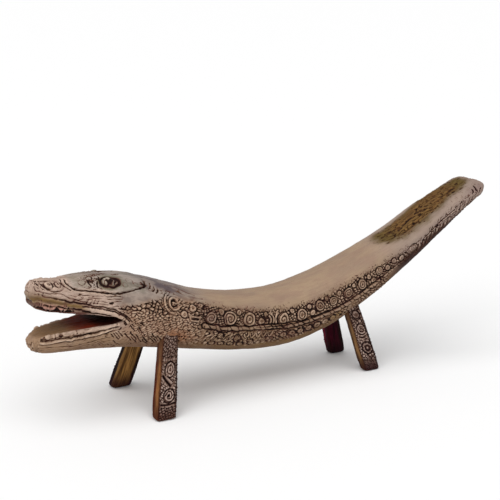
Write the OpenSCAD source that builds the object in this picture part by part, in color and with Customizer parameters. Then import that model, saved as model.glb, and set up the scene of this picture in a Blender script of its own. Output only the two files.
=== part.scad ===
// Wooden headrest carved as a crocodile.
// A long curved beam makes the head, the cradle and the raised tail.
// Four splayed legs are tenoned into blind bores in its lower flanks.
// X runs along the beam with the snout at -X, Z is up, and the feet stand on Z = 0.

/* [Beam] */
// Whole length from the snout to the end of the tail
whole_length = 640; // [600:5:680]
// Widest place of the neck, from side to side
neck_width = 84; // [80:1:90]
// Number of slices that the beam is lofted from
beam_slices = 64; // [48:4:80]
// Number of points around one slice
slice_points = 36; // [28:4:44]

/* [Head] */
// Length of the mouth from the snout to its corner
mouth_length = 104; // [98:1:108]
// Radius of the ball that each eye is cut from
eye_ball_r = 10; // [9:0.5:11]
// How far each eye stands out of the head
eye_height = 2.5; // [1.5:0.5:3.5]

/* [Front legs] */
// Size of a front leg at the floor, along X and across
front_foot = [26, 17.5]; // [14:0.5:28]
// Size of a front leg where it meets the beam
front_top = [20.5, 15.5]; // [12:0.5:22]
// Diameter of the round tenon on a front leg
front_tenon_d = 11; // [8:0.5:12]

/* [Rear legs] */
// Size of a rear leg at the floor, along X and across
rear_foot = [25, 14.5]; // [12:0.5:28]
// Size of a rear leg where it meets the beam
rear_top = [20.5, 13.5]; // [10:0.5:22]
// Diameter of the round tenon on a rear leg
rear_tenon_d = 9; // [7:0.5:10]

/* [Joints] */
// How deep a tenon goes into the beam, past the point where its axis enters
tenon_depth = 24; // [18:1:28]
// Difference between the bore and its tenon, on the diameter
bore_clearance = 0.2; // [0.1:0.1:0.4]
// Radius worn on the edge of each foot
toe_round = 3; // [2:0.5:4]

/* [Hidden] */

worn_wood = [0.55, 0.45, 0.39];
leg_wood = [0.47, 0.35, 0.27];

// The stations below were drawn on a beam 640 long and 84 wide
drawn_length = 640;
drawn_width = 84;
along = whole_length / drawn_length;
across = neck_width / drawn_width;

// Stations along the beam: x, top, underside, half width, squareness of the slice
STATIONS = [
    [-320, 160,  93, 10, 2.4],
    [-316, 166,  86, 13, 2.5],
    [-306, 167,  82, 17, 2.6],
    [-290, 165,  80, 20, 2.6],
    [-250, 166,  79, 28, 2.5],
    [-205, 161,  75, 37, 2.4],
    [-160, 148,  68, 42, 2.4],
    [-110, 130,  58, 41, 2.4],
    [ -50, 119,  48, 39, 2.4],
    [  10, 119,  45, 38, 2.4],
    [  70, 131,  58, 38, 2.5],
    [ 130, 151,  86, 37, 2.6],
    [ 190, 175, 124, 35, 2.8],
    [ 250, 205, 168, 34, 3.0],
    [ 300, 224, 206, 33, 3.2],
    [ 313, 230, 213, 32, 3.2],
    [ 320, 233, 219, 27, 3.2]
];

// Side outline of the open mouth, seen from the left side of the head
corner_x = -drawn_length / 2 + mouth_length;
MOUTH = [
    [-340, 158], [-324, 145], [-316, 137], [-304, 133], [-286, 130],
    [-250, 125], [corner_x - 8, 119.5], [corner_x, 116.5],
    [corner_x - 10, 112.5], [-256, 110], [-290, 107], [-306, 105],
    [-318, 101], [-326, 94], [-340, 82]
];

// Where each leg axis stands on the floor and where it ends inside the beam
front_floor = [-179.5, 58.5, 0];
front_root = [-161, 31.5, 94];
front_entry_z = 81;
rear_floor = [134.5, 38, 0];
rear_root = [101.5, 26, 96];
rear_entry_z = 80;

// Place of the left eye's middle, mirrored in Y, and the way that the eye looks
eye_centre = [-231, 21, 157];
eye_normal = [0, 0.69, 0.72];

// How far below its entry height a tenon grows out of the leg
tenon_below_entry = 18;
// How far below its entry height the drill of a bore starts
drill_below_entry = 30;
// Free depth past the end of a tenon
bore_end_gap = 0.5;
// Stretch of the beam, on each side of a leg, that its shoulder is coped to
cope_reach = 40;

// Corner radius of a leg as a share of its narrow side
leg_corner_share = 0.22;
// Worn edge of a foot: height above the floor and step inwards, as shares of toe_round
WORN_EDGE = [[0, 0.75], [0.12, 0.45], [0.4, 0.17], [1, 0]];
// How much of the step inwards comes off the corner radius
worn_corner_share = 0.5;

slice_step = 360 / slice_points;
leg_points = 24;
// How much closer together the slices are at both ends: 0 is evenly spaced
end_crowding = 0.5;

// Slope of column c at station i, from the stations on both sides
function slope(i, c) =
    let (a = max(i - 1, 0), b = min(i + 1, len(STATIONS) - 1))
    (STATIONS[b][c] - STATIONS[a][c]) / (STATIONS[b][0] - STATIONS[a][0]);

// Index of the station that starts the stretch holding x
function stretch(x, i = 0) =
    i == len(STATIONS) - 2 || x <= STATIONS[i + 1][0] ? i : stretch(x, i + 1);

// Smooth value of column c at x, by a cubic through the stations
function smooth_at(x, c) =
    let (
        i = stretch(x),
        run = STATIONS[i + 1][0] - STATIONS[i][0],
        t = (x - STATIONS[i][0]) / run
    )
    (2 * t^3 - 3 * t^2 + 1) * STATIONS[i][c]
    + (t^3 - 2 * t^2 + t) * run * slope(i, c)
    + (3 * t^2 - 2 * t^3) * STATIONS[i + 1][c]
    + (t^3 - t^2) * run * slope(i + 1, c);

// Signed power, which squares off an ellipse
function bent(v, p) = sign(v) * pow(abs(v), p);

// Place of slice i, with the slices closer together towards both ends
function slice_x(i) =
    let (u = i / beam_slices)
    drawn_length * (u - end_crowding * sin(360 * u) / (2 * PI) - 0.5);

// Points of one slice of the beam
function slice(x) =
    let (
        top = smooth_at(x, 1),
        bottom = smooth_at(x, 2),
        half = smooth_at(x, 3),
        p = 2 / smooth_at(x, 4)
    )
    [for (k = [0 : slice_points - 1])
        [x * along,
         half * across * bent(cos(k * slice_step), p),
         (top + bottom) / 2 + (top - bottom) / 2 * bent(sin(k * slice_step), p)]];

// Solid skin over a list of rings that all have the same number of points
module skin(rings) {
    n = len(rings[0]);
    last = len(rings) - 1;
    lower = [for (i = [0 : last - 1], k = [0 : n - 1])
        [i * n + k, (i + 1) * n + k, i * n + (k + 1) % n]];
    upper = [for (i = [0 : last - 1], k = [0 : n - 1])
        [i * n + (k + 1) % n, (i + 1) * n + k, (i + 1) * n + (k + 1) % n]];
    first_cap = [for (k = [0 : n - 1]) k];
    last_cap = [for (k = [0 : n - 1]) last * n + n - 1 - k];
    polyhedron([for (ring = rings) each ring],
               concat(lower, upper, [first_cap, last_cap]), convexity = 6);
}

// Solid beam between two slices, closed by flat ends
module beam_skin(first = 0, last = beam_slices)
    skin([for (i = [first : last]) slice(slice_x(i))]);

// Index of the last slice at or before x
function slice_before(x) =
    max([for (i = [0 : beam_slices]) if (slice_x(i) <= x) i]);

// Cylinder laid along the line from a to b, between heights za and zb on that line
module rod_along(a, b, za, zb, d) {
    way = b - a;
    reach = norm(way);
    tilt = acos(way[2] / reach);
    turn = atan2(way[1], way[0]);
    per_height = reach / way[2];
    translate(a)
        rotate([0, tilt, turn])
            translate([0, 0, (za - a[2]) * per_height])
                cylinder(h = (zb - za) * per_height, d = d, $fn = 48);
}

// Ring of one leg section: a rectangle with round corners, lying level
function leg_ring(centre, size, corner_r) =
    [for (k = [0 : leg_points - 1])
        let (
            angle = (k + 0.5) * 360 / leg_points,
            flat = [size[0] / 2 - corner_r, size[1] / 2 - corner_r]
        )
        [centre[0] + sign(cos(angle)) * flat[0] + corner_r * cos(angle),
         centre[1] + sign(sin(angle)) * flat[1] + corner_r * sin(angle),
         centre[2]]];

// Tapered bar from the floor up into the beam, with a worn edge at the foot
module leg_bar(floor_at, root, foot_size, top_size) {
    lean = (root - floor_at) / root[2];
    corner_r = min(top_size) * leg_corner_share;
    skin(concat(
        [for (edge = WORN_EDGE)
            let (back = toe_round * edge[1])
            leg_ring(floor_at + lean * toe_round * edge[0],
                     foot_size - 2 * [back, back], corner_r - back * worn_corner_share)],
        [leg_ring(root, top_size, corner_r)]
    ));
}

// Leg with its shoulder coped to the flank of the beam, and its tenon
module leg(floor_at, root, foot_size, top_size, entry_z, tenon_d) {
    lean = (root - floor_at) / root[2];
    tenon_end_z = entry_z + tenon_depth / norm(lean);
    color(leg_wood)
        union() {
            difference() {
                leg_bar(floor_at, root, foot_size, top_size);
                beam_skin(slice_before(root[0] / along - cope_reach),
                          slice_before(root[0] / along + cope_reach) + 1);
            }
            rod_along(floor_at, root, entry_z - tenon_below_entry, tenon_end_z, tenon_d);
        }
}

// Blind bore for one tenon
module bore(floor_at, root, entry_z, tenon_d) {
    lean = (root - floor_at) / root[2];
    end_z = entry_z + (tenon_depth + bore_end_gap) / norm(lean);
    rod_along(floor_at, root, entry_z - drill_below_entry, end_z, tenon_d + bore_clearance);
}

// Point mirrored to one side of the head: -1 is the left side, 1 the right
function on_side(p, side) = [p[0] * along, p[1] * side, p[2]];

module open_mouth() {
    through = 2 * neck_width;
    translate([0, through / 2, 0])
        rotate([90, 0, 0])
            linear_extrude(through)
                scale([along, 1])
                    polygon(MOUTH);
}

module crocodile_body() {
    color(worn_wood)
        difference() {
            union() {
                beam_skin();
                for (side = [-1, 1])
                    translate(on_side(eye_centre - eye_normal * (eye_ball_r - eye_height), side))
                        sphere(r = eye_ball_r, $fn = 48);
            }
            open_mouth();
            for (side = [-1, 1]) {
                bore(on_side(front_floor, side), on_side(front_root, side),
                     front_entry_z, front_tenon_d);
                bore(on_side(rear_floor, side), on_side(rear_root, side),
                     rear_entry_z, rear_tenon_d);
            }
        }
}

module front_leg(side) {
    leg(on_side(front_floor, side), on_side(front_root, side),
        front_foot, front_top, front_entry_z, front_tenon_d);
}

module rear_leg(side) {
    leg(on_side(rear_floor, side), on_side(rear_root, side),
        rear_foot, rear_top, rear_entry_z, rear_tenon_d);
}

crocodile_body();
front_leg(-1);  // front_left_leg
front_leg(1);  // front_right_leg
rear_leg(-1);  // rear_left_leg
rear_leg(1);  // rear_right_leg
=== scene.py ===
"""Carved wooden crocodile headrest: the looks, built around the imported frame.

Each piece starts as a fine, smoothed copy of its CAD node. The carving is then cut into that
copy point by point. On the beam it is laid out in a flat map of the skin, in millimetres:
"along" runs along the centre line from the middle of the beam, towards the tail, and "around"
runs over the skin from the widest line of the flank, up to the crown. Both sides are carved
alike.
"""
import math

import bmesh
import bpy
import numpy as np
from mathutils import Matrix, Vector
from mathutils.bvhtree import BVHTree


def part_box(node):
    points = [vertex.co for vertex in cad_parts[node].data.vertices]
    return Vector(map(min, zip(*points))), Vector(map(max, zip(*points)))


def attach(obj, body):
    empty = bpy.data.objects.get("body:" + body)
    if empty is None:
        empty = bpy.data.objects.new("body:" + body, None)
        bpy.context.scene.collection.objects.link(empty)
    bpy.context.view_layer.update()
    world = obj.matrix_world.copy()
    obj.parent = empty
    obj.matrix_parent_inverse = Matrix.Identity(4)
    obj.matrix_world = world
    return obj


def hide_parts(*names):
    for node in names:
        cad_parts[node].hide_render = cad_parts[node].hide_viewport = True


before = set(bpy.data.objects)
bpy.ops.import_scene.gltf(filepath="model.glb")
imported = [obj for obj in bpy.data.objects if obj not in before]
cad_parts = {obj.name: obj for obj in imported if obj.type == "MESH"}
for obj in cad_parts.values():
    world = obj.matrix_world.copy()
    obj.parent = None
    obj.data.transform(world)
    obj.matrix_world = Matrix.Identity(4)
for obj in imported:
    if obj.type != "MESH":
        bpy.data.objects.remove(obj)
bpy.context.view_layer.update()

MM = 0.001
# Size, in millimetres, of the small cubes that each fine copy is built from
BODY_VOXEL = 0.68
LEG_VOXEL = 0.55
# How widely the fine copy of the beam is smoothed, in millimetres
SMOOTH_WIDTH = 2.4
# Place of the corner of the mouth, in millimetres along the frame's x
MOUTH_CORNER = -216
# How many times deeper the carving is than the numbers of its cuts say
RELIEF = 1.9
# How far the tip of the upper jaw is drawn back, in millimetres
TIP_PULL = 2.6
# Distance from the middle of the frame, in millimetres, where the flat ends of the beam begin
BEAM_END = 310
# How far the stain of the worn patch spreads past it, in millimetres
STAIN_WIDTH = 8
# Widths, in millimetres, of the close and the far surroundings that dirt with painted shade, and rubbing
# with painted highlight, are judged by
CLOSE_REACH = 1.6
FAR_REACH = 4.5
# Share of a leg's axis, counted from the floor, that lies below the beam
ROOT_SHARE = 0.86
# How far a leg's coped shoulder is pushed into the beam, in millimetres
SHOULDER_PUSH = 1.8

# Strength of the light from all sides
WORLD_LIGHT = 0.42
# Half the width of the floor, in metres
FLOOR_HALF = 20

# Camera: degrees, metres and millimetres of lens on a 36 mm sensor
CAMERA_TURN = -32.68
CAMERA_RISE = 14.41
CAMERA_ROLL = 1.94
CAMERA_PLACE = (-0.75306, -1.12352, 0.51168)
CAMERA_LENS = 81.67
CAMERA_SHIFT = (-0.001, 0.001)


# ---------------------------------------------------------------- camera, floor and light

def build_camera():
    turn = math.radians(CAMERA_TURN)
    rise = math.radians(CAMERA_RISE)
    roll = math.radians(CAMERA_ROLL)
    back = Vector((math.sin(turn) * math.cos(rise), -math.cos(turn) * math.cos(rise), math.sin(rise)))
    level = Vector((math.cos(turn), math.sin(turn), 0))
    upright = back.cross(level)
    right = math.cos(roll) * level + math.sin(roll) * upright
    up = math.cos(roll) * upright - math.sin(roll) * level
    camera = bpy.data.objects.new("camera", bpy.data.cameras.new("camera"))
    bpy.context.scene.collection.objects.link(camera)
    camera.matrix_world = Matrix((right, up, back)).transposed().to_4x4()
    camera.location = CAMERA_PLACE
    camera.data.lens = CAMERA_LENS
    camera.data.sensor_width = 36
    camera.data.shift_x, camera.data.shift_y = CAMERA_SHIFT
    bpy.context.scene.camera = camera


def sun_light(name, towards, strength, softness):
    """Even light from far away. Softness is the width of the lamp in the sky, in degrees."""
    light = bpy.data.lights.new(name, "SUN")
    light.energy = strength
    light.angle = math.radians(softness)
    lamp = bpy.data.objects.new(name, light)
    bpy.context.scene.collection.objects.link(lamp)
    lamp.rotation_euler = Vector(towards).to_track_quat("Z", "Y").to_euler()


def build_studio():
    world = bpy.data.worlds.new("studio")
    world.use_nodes = True
    background = world.node_tree.nodes["Background"]
    background.inputs["Color"].default_value = (1, 1, 1, 1)
    background.inputs["Strength"].default_value = WORLD_LIGHT
    bpy.context.scene.world = world
    bpy.context.scene.view_settings.view_transform = "Standard"
    sun_light("sky_light", (-0.3, -0.3, 1), 2.0, 75)
    sun_light("side_light", (-1, -0.5, 0.7), 0.45, 30)
    corners = [(x * FLOOR_HALF, y * FLOOR_HALF, 0) for x, y in ((-1, -1), (1, -1), (1, 1), (-1, 1))]
    mesh = bpy.data.meshes.new("floor")
    mesh.from_pydata(corners, [], [(0, 1, 2, 3)])
    floor = bpy.data.objects.new("floor", mesh)
    bpy.context.scene.collection.objects.link(floor)
    paint = bpy.data.materials.new("pale_floor")
    paint.use_nodes = True
    shader = paint.node_tree.nodes["Principled BSDF"]
    shader.inputs["Base Color"].default_value = (0.94, 0.94, 0.94, 1)
    shader.inputs["Roughness"].default_value = 0.9
    shader.inputs["Specular IOR Level"].default_value = 0.1
    mesh.materials.append(paint)


# ---------------------------------------------------------------- number helpers

# How far a cell's centre strays from the middle of its square, as a share of the square
CELL_JITTER = 0.75
# Pieces that a smooth curve has between two of its given points
CURVE_STEPS = 6


def fade(start, end, value):
    """0 at start, 1 at end and smooth between. It also runs downwards, with start above end."""
    t = np.clip((value - start) / (end - start), 0, 1)
    return t * t * (3 - 2 * t)


def bell(distance, width):
    return np.exp(-((distance / width) ** 2))


def lattice(column, row, seed):
    """Fixed random number from 0 to 1 for each whole-number place."""
    mixed = column.astype(np.int64) * 374761393 + row.astype(np.int64) * 668265263 + seed * 144665
    mixed = mixed & 0xFFFFFFFF
    mixed = ((mixed ^ (mixed >> 13)) * 1274126177) & 0xFFFFFFFF
    return ((mixed ^ (mixed >> 16)) & 0xFFFF) / 65535


def noise(u, v, seed):
    """Smooth noise from -1 to 1 with features about one unit wide."""
    column, row = np.floor(u), np.floor(v)
    a, b = u - column, v - row
    a = a * a * (3 - 2 * a)
    b = b * b * (3 - 2 * b)
    low = lattice(column, row, seed) * (1 - a) + lattice(column + 1, row, seed) * a
    high = lattice(column, row + 1, seed) * (1 - a) + lattice(column + 1, row + 1, seed) * a
    return 2 * (low * (1 - b) + high * b) - 1


def cells(u, v, seed):
    """Distance to the nearest cell centre, gap to the next nearest, and the cell's own number."""
    column, row = np.floor(u), np.floor(v)
    first = np.full(u.shape, 9.0)
    second = np.full(u.shape, 9.0)
    own = np.zeros(u.shape)
    for i in (-1, 0, 1):
        for j in (-1, 0, 1):
            c, r = column + i, row + j
            x = c + 0.5 + CELL_JITTER * (lattice(c, r, seed) - 0.5)
            y = r + 0.5 + CELL_JITTER * (lattice(c, r, seed + 7) - 0.5)
            d = np.hypot(u - x, v - y)
            nearer = d < first
            second = np.where(nearer, first, np.minimum(second, d))
            own = np.where(nearer, lattice(c, r, seed + 13), own)
            first = np.where(nearer, d, first)
    return first, second - first, own


def turned(u, v, degrees):
    c, s = math.cos(math.radians(degrees)), math.sin(math.radians(degrees))
    return u * c + v * s, v * c - u * s


def smooth_path(points):
    """Points on a smooth curve through the given ones."""
    p = np.array(points, float)
    p = np.vstack([2 * p[0] - p[1], p, 2 * p[-1] - p[-2]])
    out = []
    for i in range(1, len(p) - 2):
        a, b, c, d = p[i - 1:i + 3]
        for k in range(CURVE_STEPS):
            t = k / CURVE_STEPS
            out.append(0.5 * (2 * b + (c - a) * t + (2 * a - 5 * b + 4 * c - d) * t * t
                              + (3 * b - a - 3 * c + d) * t ** 3))
    out.append(p[-2])
    return np.array(out)


def height_of(points, at):
    """Second coordinate of a smooth curve through the points, at the given first coordinate."""
    path = smooth_path(points)
    return np.interp(at, path[:, 0], path[:, 1])


# ---------------------------------------------------------------- meshes

def fine_copy(node, name, voxel, passes):
    """Evenly meshed and smoothed copy of a CAD node, as a new object."""
    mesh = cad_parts[node].data.copy()
    solid = bmesh.new()
    solid.from_mesh(mesh)
    bmesh.ops.remove_doubles(solid, verts=solid.verts, dist=1e-6)
    solid.to_mesh(mesh)
    solid.free()
    mesh.materials.clear()
    rough = bpy.data.objects.new(name, mesh)
    bpy.context.scene.collection.objects.link(rough)
    remesh = rough.modifiers.new("remesh", "REMESH")
    remesh.mode = "VOXEL"
    remesh.voxel_size = voxel * MM
    smooth = rough.modifiers.new("smooth", "SMOOTH")
    smooth.factor = 0.5
    smooth.iterations = passes
    bpy.context.view_layer.update()
    graph = bpy.context.evaluated_depsgraph_get()
    fine = bpy.data.meshes.new_from_object(rough.evaluated_get(graph), depsgraph=graph)
    rough.modifiers.clear()
    rough.data = fine
    bpy.data.meshes.remove(mesh)
    fine.name = name
    return rough


def mesh_points(mesh):
    flat = np.zeros(len(mesh.vertices) * 3, np.float32)
    mesh.vertices.foreach_get("co", flat)
    return flat.reshape(-1, 3).astype(float) / MM


def mesh_normals(mesh):
    flat = np.zeros(len(mesh.vertices) * 3, np.float32)
    mesh.vertex_normals.foreach_get("vector", flat)
    return flat.reshape(-1, 3).astype(float)


def mesh_edges(mesh):
    flat = np.zeros(len(mesh.edges) * 2, np.int32)
    mesh.edges.foreach_get("vertices", flat)
    return flat.reshape(-1, 2)


def spread(values, edges, passes):
    """Values averaged with their neighbours over the mesh, several times."""
    count = len(values)
    a, b = edges[:, 0], edges[:, 1]
    degree = np.maximum(np.bincount(a, minlength=count) + np.bincount(b, minlength=count), 1)
    for _ in range(passes):
        near = np.bincount(a, values[b], count) + np.bincount(b, values[a], count)
        values = 0.4 * values + 0.6 * near / degree
    return values


def store(mesh, name, values):
    layer = mesh.attributes.new(name, "FLOAT", "POINT")
    layer.data.foreach_set("value", np.ascontiguousarray(values, np.float32))


def store_all(mesh, masks):
    for name, values in masks.items():
        store(mesh, name, values)


def store_vector(mesh, name, values):
    layer = mesh.attributes.new(name, "FLOAT_VECTOR", "POINT")
    layer.data.foreach_set("vector", np.ascontiguousarray(values, np.float32).ravel())


def set_points(mesh, points):
    mesh.vertices.foreach_set("co", (points * MM).astype(np.float32).ravel())
    mesh.update()


# ---------------------------------------------------------------- carving tools

class Carving:
    """Relief over a skin whose points have flat places (u, v) in millimetres."""

    def __init__(self, u, v, skin):
        self.u = u
        self.v = v
        self.skin = skin
        self.lift = np.zeros(len(u))
        # Darkness of the cuts: dirt in them, and painted shade that the shallow relief can't cast
        self.grime_and_shade = np.zeros(len(u))
        self.taken = np.zeros(len(u))
        self.order = np.argsort(u)
        self.sorted_u = u[self.order]

    def between(self, low, high):
        first, last = np.searchsorted(self.sorted_u, [low, high])
        return self.order[first:last]

    def near(self, u, v, radius, stretch):
        """Points near a place, and how far each lies from it, with the length divided by stretch."""
        where = self.between(u - radius * stretch - 4, u + radius * stretch + 4)
        return where, np.hypot((self.u[where] - u) / stretch, self.v[where] - v)

    def raise_by(self, where, lift, grime_and_shade=0.0, taken=0.0):
        self.lift[where] += lift * self.skin[where]
        self.grime_and_shade[where] = np.maximum(self.grime_and_shade[where], grime_and_shade * self.skin[where])
        self.taken[where] = np.maximum(self.taken[where], taken)

    def along_path(self, points, reach):
        """Points near a path, their way along it, their distance to its left, and its length."""
        path = smooth_path(points)
        where = self.between(path[:, 0].min() - reach, path[:, 0].max() + reach)
        u, v = self.u[where], self.v[where]
        best = np.full(len(where), 1e9)
        way = np.zeros(len(where))
        side = np.zeros(len(where))
        start = 0.0
        for a, b in zip(path[:-1], path[1:]):
            du, dv = b - a
            length = math.hypot(du, dv)
            t = np.clip(((u - a[0]) * du + (v - a[1]) * dv) / length ** 2, 0, 1)
            x = u - a[0] - t * du
            y = v - a[1] - t * dv
            d = np.hypot(x, y)
            nearer = d < best
            best = np.where(nearer, d, best)
            way = np.where(nearer, start + t * length, way)
            side = np.where(nearer, np.sign(du * y - dv * x) * d, side)
            start += length
        keep = best < reach
        return where[keep], way[keep], side[keep], start

    def groove(self, points, width=1.1, depth=0.8, grime_and_shade=1.0, lip=0.0):
        """V-cut along a path. A lip raises its two edges."""
        where, _, side, _ = self.along_path(points, 3 * width + 1)
        cut = bell(side, width)
        edges = bell(np.abs(side) - 1.9 * width, 0.8 * width)
        taken = fade(3 * width, 1.5 * width, np.abs(side))
        self.raise_by(where, lip * edges - depth * cut, grime_and_shade * cut, taken)

    def ridge(self, points, width=1.6, height=0.9, edge=0.8):
        """Round moulding along a path, with a dark groove on each side."""
        where, way, side, length = self.along_path(points, 2.4 * width + 1)
        d = np.abs(side)
        ends = fade(0, width, way) * fade(length, length - width, way)
        crown = np.sqrt(np.clip(1 - (d / width) ** 2, 0, 1)) * ends
        cut = bell(d - 1.25 * width, 0.45 * width) * ends
        self.raise_by(where, height * crown - 0.6 * cut, edge * cut, fade(2.1 * width, 1.5 * width, d))

    def rope(self, points, bead=8.0, width=1.7, height=0.9, slant=0.0):
        """Row of long beads along a path, between two dark grooves."""
        where, way, side, _ = self.along_path(points, 2.5 * width + 1)
        phase = (way + slant * side) / bead + 0.2 * np.sin(0.37 * way)
        size = 0.82 + 0.36 * lattice(np.floor(phase), np.floor(phase) * 0, round(bead * 10))
        d = np.abs(side) / size
        end = 1 - 2 * np.abs(phase - np.round(phase))
        crown = np.sqrt(np.clip(1 - (d / width) ** 2 - end ** 3, 0, 1))
        cut = np.maximum(bell(d - 1.3 * width, 0.5 * width), fade(0.8, 0.97, end) * (d < width))
        self.raise_by(where, height * crown - 0.8 * cut, cut, fade(2.2 * width, 1.6 * width, d))

    def loop(self, u, v, radius, width=1.0, depth=0.9, heavy=0.0, side=0.0, stretch=1.0, lean=0.0):
        """Groove in a circle. Heavy makes it wider on one side, given as an angle in degrees."""
        reach = radius * stretch + radius * abs(lean) + 5
        where = self.between(u - reach, u + reach)
        y = self.v[where] - v
        x = (self.u[where] - u - lean * y) / stretch
        towards = 0.5 + 0.5 * np.cos(np.arctan2(y, x) - math.radians(side))
        wide = width * (1 + heavy * towards ** 2)
        cut = bell(np.hypot(x, y) - radius, wide)
        self.raise_by(where, -depth * cut, cut, cut)

    def blot(self, u, v, radius, strength, stretch=1.0, seed=1):
        """Ragged dark stain."""
        where, d = self.near(u, v, radius, stretch)
        a, b = self.u[where], self.v[where]
        d = d + 0.4 * radius * noise(a / 2.5, b / 2, seed)
        patchy = 0.6 + 0.4 * noise(a / 1.5, b / 1.2, seed + 1)
        self.raise_by(where, 0, strength * fade(radius, 0.3 * radius, d) * patchy)

    def ring(self, u, v, radius, rings=2, stretch=1.0, spiral=0.0, height=0.9, dot=True, grime_and_shade=1.0):
        """Concentric rings, or a spiral, round a raised dot. Stretch above 1 makes them long."""
        where, d = self.near(u, v, radius, stretch)
        keep = d < radius + 2.5
        where, d = where[keep], d[keep]
        turn = np.arctan2(self.v[where] - v, (self.u[where] - u) / stretch)
        wobble = 1 + 0.05 * np.sin(3 * turn + u)
        pitch = radius / (rings + 0.3)
        phase = (radius - d * wobble) / pitch + spiral * turn / (2 * math.pi)
        wave = (0.5 - 0.5 * np.cos(2 * math.pi * phase)) ** 0.75
        inside = fade(radius + 0.6, radius - 0.2, d)
        dip = (1 - wave) * inside
        if dot:
            dip = dip * fade(0.35 * pitch, 0.9 * pitch, d)
        rim = bell(d - radius - 0.3, 0.9)
        dark = np.maximum(dip ** 2, rim) * grime_and_shade
        worn = 0.8 + 0.35 * noise(self.u[where] / 4, self.v[where] / 3, 55)
        lift = height * worn * (wave * inside - 0.35) * fade(radius + 1.5, radius - 0.5, d)
        self.raise_by(where, lift - 0.7 * grime_and_shade * rim, dark, fade(radius + 1.6, radius + 0.6, d))

    def pit(self, u, v, radius, depth=1.2, stretch=1.0):
        """Small drilled or gouged hole."""
        where, d = self.near(u, v, radius, stretch)
        hole = fade(radius + 0.4, radius - 0.4, d)
        self.raise_by(where, -depth * hole, hole, hole)

    def disc(self, u, v, radius, height):
        """Raised round button."""
        where, d = self.near(u, v, radius, 1)
        self.raise_by(where, height * fade(radius + 0.5, radius - 0.8, d))

    def free_places(self, weight, angle):
        """Points that a field fills, outside the motifs, with their weights and turned places."""
        free = weight * (1 - self.taken)
        where = np.nonzero(free > 0.01)[0]
        return where, free[where], *turned(self.u[where], self.v[where], angle)

    def scales(self, weight, size, angle=0.0, depth=0.9, seed=1, gap=0.16, dome=0.5, grime_and_shade=1.0):
        """Field of separate bumps with dark gaps. Size is along and across the angle."""
        where, w, u, v = self.free_places(weight, angle)
        first, between, own = cells(u / size[0], v / size[1], seed)
        cut = bell(between, gap)
        bump = dome * np.clip(1 - first * 1.6, 0, 1) + 0.25 * (own - 0.5)
        self.raise_by(where, w * (bump - depth * cut), grime_and_shade * fade(0.2, 0.8, w) * cut * (0.3 + 0.7 * own))

    def nicks(self, weight, spacing, length=2.2, depth=0.6, lean=None, seed=1):
        """Short scattered cuts, about one in each square. They point every way, or all near lean."""
        where = np.nonzero(weight > 0.01)[0]
        u, v = self.u[where] / spacing, self.v[where] / spacing
        column, row = np.floor(u), np.floor(v)
        cut = np.zeros(len(where))
        for i in (-1, 0, 1):
            for j in (-1, 0, 1):
                c, r = column + i, row + j
                x = (u - c - lattice(c, r, seed)) * spacing
                y = (v - r - lattice(c, r, seed + 1)) * spacing
                turn = lattice(c, r, seed + 2) - 0.5
                angle = math.pi * turn if lean is None else math.radians(lean) + 0.9 * turn
                way = x * np.cos(angle) + y * np.sin(angle)
                side = y * np.cos(angle) - x * np.sin(angle) + 0.25 * way * way / length * turn
                reach = length * (0.5 + 0.8 * lattice(c, r, seed + 4))
                one = bell(side, 0.5) * fade(reach, 0.5 * reach, np.abs(way))
                cut = np.maximum(cut, one * (0.35 + 0.65 * lattice(c, r, seed + 3)))
        self.raise_by(where, -depth * cut * weight[where], cut * fade(0.1, 0.7, weight[where]))

    def strokes(self, weight, pitch, angle=0.0, depth=0.6, seed=1, run=12.0, grime_and_shade=0.8):
        """Field of parallel knife strokes that start and stop."""
        where, w, u, v = self.free_places(weight, angle)
        lane = v / pitch + 0.35 * noise(u / 14, v / 9, seed)
        row = np.floor(lane)
        offset = lane - row - 0.5
        shift = lattice(row, row * 0, seed)
        stroke = fade(-0.2, 0.35, np.sin(2 * math.pi * (u / run + shift)))
        cut = bell(offset * pitch, 0.28 * pitch) * stroke * w
        self.raise_by(where, -depth * cut, grime_and_shade * cut)


# ---------------------------------------------------------------- flat map of the beam

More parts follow.
